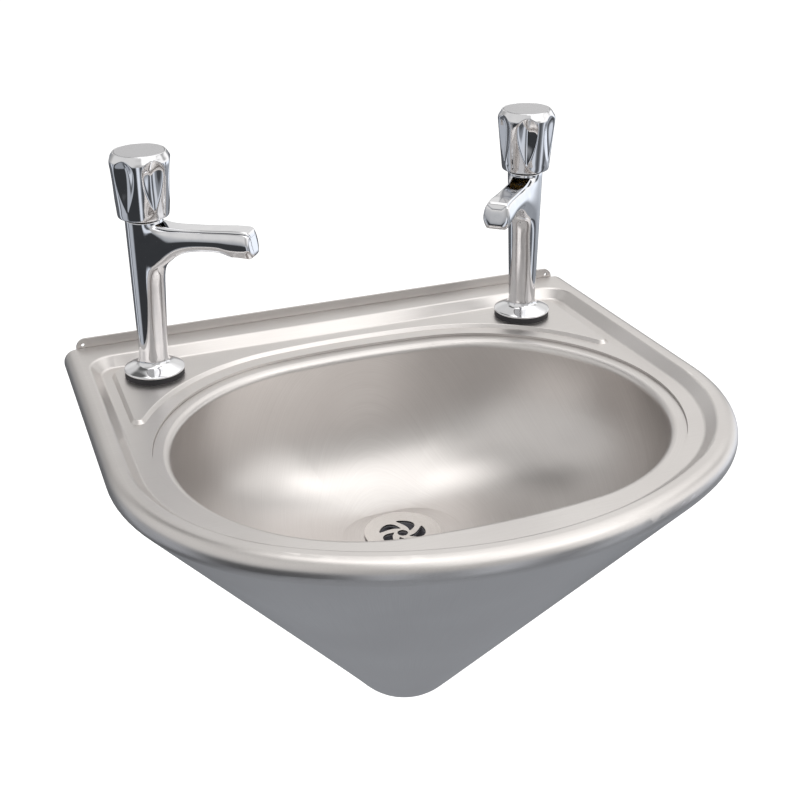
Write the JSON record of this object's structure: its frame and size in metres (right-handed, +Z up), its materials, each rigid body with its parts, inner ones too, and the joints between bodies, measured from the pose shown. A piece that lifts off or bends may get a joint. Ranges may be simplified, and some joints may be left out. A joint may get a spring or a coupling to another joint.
{
  "type": "hand basin",
  "caption": "Small wall-hung hand basin of brushed steel with an oval bowl, a cone apron, pillar taps with fluted handles and a slotted waste.",
  "frame": {"origin": "on the wall face behind the basin, midway along its width, level with the top of the rim", "axes": "+X to the right of someone facing the basin, +Y into the wall, +Z up"},
  "size_m": [0.432, 0.3829, 0.4018],
  "materials": {
    "brushed_steel": "satin brushed",
    "waste_steel": "polished",
    "chrome": "mirror plated",
    "bare_brass": "turned",
    "zinc_steel": "zinc plated",
    "black_rubber": "moulded",
    "index_plastic": "moulded",
    "nozzle_plastic": "moulded",
    "nut_plastic": "moulded"
  },
  "bodies": {
    "basin": {"rim_deck": "brushed_steel", "bowl": "brushed_steel", "apron": "brushed_steel", "wall_plate": "brushed_steel", "waste_fitting": "waste_steel", "waste_top_seal": "black_rubber", "waste_bottom_seal": "black_rubber", "waste_back_nut": "nut_plastic", "left_tap_body": "chrome", "left_base_gasket": "black_rubber", "left_fixing_washer": "zinc_steel", "left_back_nut": "bare_brass", "left_headwork": "bare_brass", "left_headwork_seal": "black_rubber", "left_spindle_seal": "black_rubber", "left_nozzle": "nozzle_plastic", "right_tap_body": "chrome", "right_base_gasket": "black_rubber", "right_fixing_washer": "zinc_steel", "right_back_nut": "bare_brass", "right_headwork": "bare_brass", "right_headwork_seal": "black_rubber", "right_spindle_seal": "black_rubber", "right_nozzle": "nozzle_plastic"},
    "left_handle_group": {"left_handle": "chrome", "left_handle_screw": "zinc_steel", "left_index_disc": "index_plastic", "left_spindle": "bare_brass"},
    "left_valve_group": {"left_valve_plunger": "bare_brass", "left_valve_washer": "black_rubber"},
    "right_handle_group": {"right_handle": "chrome", "right_handle_screw": "zinc_steel", "right_index_disc": "index_plastic", "right_spindle": "bare_brass"},
    "right_valve_group": {"right_valve_plunger": "bare_brass", "right_valve_washer": "black_rubber"}
  },
  "joints": [
    {"name": "left_handle_turn", "type": "hinge", "parent": "basin", "child": "left_handle_group", "pos_m": [-0.1523, -0.057, 0.1165], "axis": [0, 0, 1], "range_deg": [0, 540]},
    {"name": "left_valve_lift", "type": "slide", "parent": "basin", "child": "left_valve_group", "axis": [0, 0, 1], "range_m": [0, 0.0046]},
    {"name": "right_handle_turn", "type": "hinge", "parent": "basin", "child": "right_handle_group", "pos_m": [0.1448, -0.057, 0.1165], "axis": [0, 0, 1], "range_deg": [0, 540]},
    {"name": "right_valve_lift", "type": "slide", "parent": "basin", "child": "right_valve_group", "axis": [0, 0, 1], "range_m": [0, 0.0046]}
  ],
  "couplings": [
    {"joint": "left_valve_lift", "follows": "left_handle_turn", "m_per_rad": 0.00047746},
    {"joint": "right_valve_lift", "follows": "right_handle_turn", "m_per_rad": 0.00047746}
  ]
}
